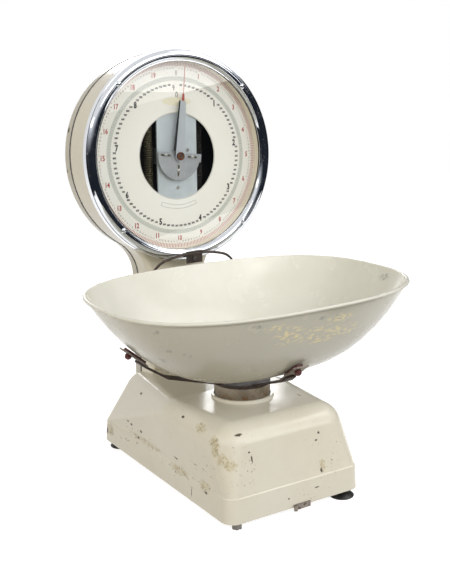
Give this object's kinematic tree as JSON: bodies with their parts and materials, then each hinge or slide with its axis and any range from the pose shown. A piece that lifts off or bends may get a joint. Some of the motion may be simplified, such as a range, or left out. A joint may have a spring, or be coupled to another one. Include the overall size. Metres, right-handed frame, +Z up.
{
  "type": "counter weighing scale",
  "caption": "Counter scale: round glazed dial on a column with a red pointer, wedge-shaped enamel base and a loose oval pan on a sprung spider.",
  "frame": {"origin": "on the ground, in the middle of the part's plan box", "axes": "+Z is up; +Y points to the back, so the dial looks towards -Y; +X is the user's right"},
  "size_m": [0.4383, 0.4198, 0.601],
  "materials": {
    "enamel_cream": "stove enamel, glossy, worn and chipped",
    "pan_enamel": "vitreous enamel, greyer than the body, scratched outside",
    "chrome_bright": "polished chrome",
    "zinc_screws": "zinc-plated steel",
    "plate_steel": "plain steel, dulled",
    "spigot_steel": "turned steel, lightly rusted",
    "lever_steel": "blackened steel",
    "spider_enamel": "dark brown-black enamel, worn",
    "movement_grey": "blue-grey satin paint",
    "brass_parts": "machined brass",
    "spring_steel": "blued spring steel",
    "black_rubber": "matt black rubber",
    "red_rubber": "dark red rubber",
    "clear_glass": "flat clear glass",
    "chart_card": "printed off-white card on sheet metal",
    "pointer_paint": "blue-grey paint with a dark flange",
    "pointer_red": "red paint"
  },
  "bodies": {
    "case": {"base_casing": "enamel_cream", "base_plate": "plate_steel", "base_screws": "zinc_screws", "foot_nuts": "zinc_screws", "front_clip": "plate_steel", "front_housing": "enamel_cream", "rear_cover": "enamel_cream", "cover_screws": "zinc_screws", "seam_gasket": "black_rubber", "bezel": "chrome_bright", "bezel_screws": "chrome_bright", "glass": "clear_glass", "glass_gasket": "black_rubber", "dial_chart": "chart_card", "chart_screws": "zinc_screws", "mechanism_plate": "movement_grey", "plate_screws": "zinc_screws", "front_bearing": "brass_parts", "bearing_bracket": "movement_grey", "rear_bearing": "brass_parts", "spring_anchor": "lever_steel", "load_spring_left": "spring_steel", "load_spring_right": "spring_steel", "stem_guide": "lever_steel", "fulcrum_stand": "lever_steel", "fulcrum_pin": "zinc_screws", "dashpot_bracket": "lever_steel", "dashpot_cylinder": "brass_parts", "column_bolts": "zinc_screws"},
    "platform": {"pan_spigot": "spigot_steel", "pan_spider": "spider_enamel", "spider_bolt": "zinc_screws", "arm_clips": "spider_enamel", "arm_buffers": "red_rubber", "back_hoop": "spider_enamel", "hoop_plate": "spider_enamel", "hoop_screw": "lever_steel", "hoop_buffer": "black_rubber"},
    "pan": {"pan": "pan_enamel"},
    "lever": {"main_lever": "lever_steel", "load_pin": "zinc_screws", "rod_pin": "zinc_screws"},
    "draw_rod": {"draw_rod": "zinc_screws", "lower_crosshead": "lever_steel", "rack": "brass_parts", "dashpot_piston": "zinc_screws", "piston_arm": "lever_steel"},
    "pointer": {"spindle": "zinc_screws", "pinion": "brass_parts", "pointer_hub": "brass_parts", "pointer": "pointer_paint", "pointer_tip": "pointer_red", "counterweight": "pointer_paint"},
    "foot_front_left": {"foot_stud_fl": "zinc_screws"},
    "foot_front_right": {"foot_stud_fr": "zinc_screws", "foot_pad_fr": "black_rubber"},
    "foot_rear_left": {"foot_stud_rl": "zinc_screws", "foot_pad_rl": "black_rubber"},
    "foot_rear_right": {"foot_stud_rr": "zinc_screws", "foot_pad_rr": "black_rubber"}
  },
  "joints": [
    {"name": "platform_sink", "type": "slide", "parent": "case", "child": "platform", "axis": [0, 0, -1], "range_m": [0, 0.008], "stiffness_N_per_m": 11122, "springref_m": -0.0046},
    {"name": "lever_turn", "type": "hinge", "parent": "case", "child": "lever", "pos_m": [0, -0.111, 0.062], "axis": [-1, 0, 0], "range_deg": [0, 5.8]},
    {"name": "rod_draw", "type": "slide", "parent": "case", "child": "draw_rod", "axis": [0, 0, -1], "range_m": [0, 0.0273], "deforming": ["load_spring_left", "load_spring_right"]},
    {"name": "pointer_turn", "type": "hinge", "parent": "case", "child": "pointer", "pos_m": [0, 0.121, 0.4485], "axis": [0, 1, 0], "range_deg": [0, 361]},
    {"name": "pan_lift", "type": "slide", "parent": "platform", "child": "pan", "axis": [0, 0, 1], "range_m": [0, 0.14]},
    {"name": "foot_screw_front_left", "type": "slide", "parent": "case", "child": "foot_front_left", "axis": [0, 0, -1], "range_m": [0, 0.005]},
    {"name": "foot_screw_front_right", "type": "slide", "parent": "case", "child": "foot_front_right", "axis": [0, 0, -1], "range_m": [0, 0.005]},
    {"name": "foot_screw_rear_left", "type": "slide", "parent": "case", "child": "foot_rear_left", "axis": [0, 0, -1], "range_m": [0, 0.005]},
    {"name": "foot_screw_rear_right", "type": "slide", "parent": "case", "child": "foot_rear_right", "axis": [0, 0, -1], "range_m": [0, 0.005]}
  ],
  "couplings": [
    {"joint": "lever_turn", "follows": "platform_sink", "rad_per_m": 12.5},
    {"joint": "rod_draw", "follows": "platform_sink", "ratio": 3.4},
    {"joint": "pointer_turn", "follows": "platform_sink", "rad_per_m": 785.4}
  ]
}
